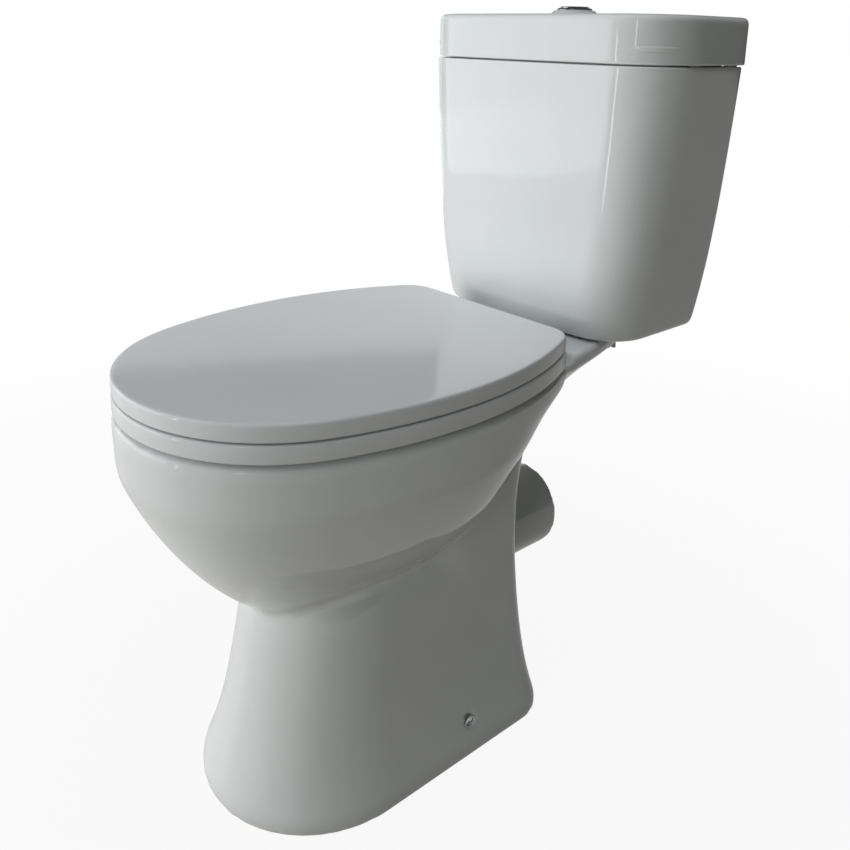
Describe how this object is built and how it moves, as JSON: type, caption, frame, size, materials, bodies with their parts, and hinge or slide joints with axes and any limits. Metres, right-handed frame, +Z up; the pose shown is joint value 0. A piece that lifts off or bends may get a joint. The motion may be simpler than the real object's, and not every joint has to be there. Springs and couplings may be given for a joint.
{
  "type": "close coupled toilet",
  "caption": "Close coupled toilet: china pan with horizontal outlet, cistern with lift-off lid and dual flush keys, hinged seat ring and lid.",
  "frame": {"origin": "on the floor, under the middle of the bounding box", "axes": "+X to the right seen from the front, +Y towards the wall, along the soil outlet, +Z up"},
  "size_m": [0.35, 0.6109, 0.7745],
  "materials": {
    "glazed_china": "gloss",
    "seat_plastic": "gloss",
    "chrome": "polished",
    "steel": "satin",
    "white_plastic": "satin",
    "grey_plastic": "satin",
    "rubber": "matt",
    "soft_pad": "matt",
    "brass": "satin"
  },
  "bodies": {
    "root": {"pan": "glazed_china", "cistern_tank": "glazed_china", "cistern_lid_pads": "soft_pad", "flush_valve_base": "white_plastic", "flush_valve_washer": "rubber", "flush_valve_backnut": "white_plastic", "doughnut_gasket": "rubber", "flush_valve_tower": "white_plastic", "rocker_platform": "white_plastic", "rocker_pins": "steel", "fill_valve": "white_plastic", "fill_valve_washer": "rubber", "fill_valve_backnut": "white_plastic", "fill_drop_tube": "white_plastic", "float_arm_pin": "steel", "coupling_bolts": "steel", "coupling_seals": "rubber", "coupling_spacers": "rubber", "coupling_washers": "steel", "coupling_wing_nuts": "brass", "hinge_post_left": "chrome", "hinge_post_right": "chrome", "hinge_pins": "steel", "hinge_pads": "soft_pad", "hinge_studs": "steel", "hinge_cone_washers": "rubber", "hinge_wing_nuts": "white_plastic", "floor_brackets": "steel", "side_bushes": "white_plastic", "side_screws": "steel", "screw_caps": "chrome"},
    "seat_ring": {"seat_ring": "seat_plastic", "ring_buffers": "soft_pad"},
    "seat_lid": {"seat_lid": "seat_plastic", "lid_buffers": "soft_pad"},
    "cistern_lid": {"cistern_lid": "glazed_china", "button_bezel": "chrome", "bezel_locknut": "white_plastic", "button_base": "white_plastic", "full_button_spring": "steel", "half_button_spring": "steel"},
    "full_key": {"full_flush_button": "chrome", "full_push_rod": "white_plastic"},
    "half_key": {"half_flush_button": "chrome", "half_push_rod": "white_plastic"},
    "lift_tube": {"lift_tube": "grey_plastic", "lift_yoke": "grey_plastic", "flush_seal": "rubber", "flush_float": "white_plastic"},
    "full_rocker": {"full_flush_rocker": "grey_plastic"},
    "half_rocker": {"half_flush_rocker": "grey_plastic"},
    "fill_float": {"fill_float": "grey_plastic", "float_link": "steel"},
    "float_arm": {"float_arm": "white_plastic"}
  },
  "joints": [
    {"name": "seat_ring_hinge", "type": "hinge", "parent": "root", "child": "seat_ring", "pos_m": [0, 0.1195, 0.441], "axis": [-1, 0, 0], "range_deg": [0, 91.3]},
    {"name": "seat_lid_hinge", "type": "hinge", "parent": "seat_ring", "child": "seat_lid", "pos_m": [0, 0.1195, 0.441], "axis": [1, 0, 0], "range_deg": [-91.3, 0]},
    {"name": "cistern_lid_lift", "type": "slide", "parent": "root", "child": "cistern_lid", "axis": [0, 0, 1], "range_m": [0, 0.12]},
    {"name": "full_key_press", "type": "slide", "parent": "cistern_lid", "child": "full_key", "axis": [0, 0, -1], "range_m": [0, 0.006], "stiffness_N_per_m": 600, "springref_m": -0.004, "deforming": ["full_button_spring"]},
    {"name": "half_key_press", "type": "slide", "parent": "cistern_lid", "child": "half_key", "axis": [0, 0, -1], "range_m": [0, 0.006], "stiffness_N_per_m": 600, "springref_m": -0.003, "deforming": ["half_button_spring"]},
    {"name": "lift_tube_rise", "type": "slide", "parent": "root", "child": "lift_tube", "axis": [0, 0, 1], "range_m": [0, 0.007]},
    {"name": "full_rocker_pivot", "type": "hinge", "parent": "root", "child": "full_rocker", "pos_m": [0.022, 0.2295, 0.655], "axis": [0, -1, 0], "range_deg": [0, 25]},
    {"name": "half_rocker_pivot", "type": "hinge", "parent": "root", "child": "half_rocker", "pos_m": [-0.026, 0.2295, 0.655], "axis": [0, 1, 0], "range_deg": [0, 21]},
    {"name": "fill_float_rise", "type": "slide", "parent": "root", "child": "fill_float", "axis": [0, 0, 1], "range_m": [0, 0.014]},
    {"name": "float_arm_pivot", "type": "hinge", "parent": "root", "child": "float_arm", "pos_m": [-0.115, 0.2295, 0.671], "axis": [0, -1, 0], "range_deg": [0, 38.95]}
  ],
  "couplings": [
    {"joint": "lift_tube_rise", "follows": "full_key_press", "ratio": 1.1667},
    {"joint": "full_rocker_pivot", "follows": "full_key_press", "rad_per_m": 72.722},
    {"joint": "half_rocker_pivot", "follows": "half_key_press", "rad_per_m": 61.087},
    {"joint": "float_arm_pivot", "follows": "fill_float_rise", "rad_per_m": 48.548}
  ]
}
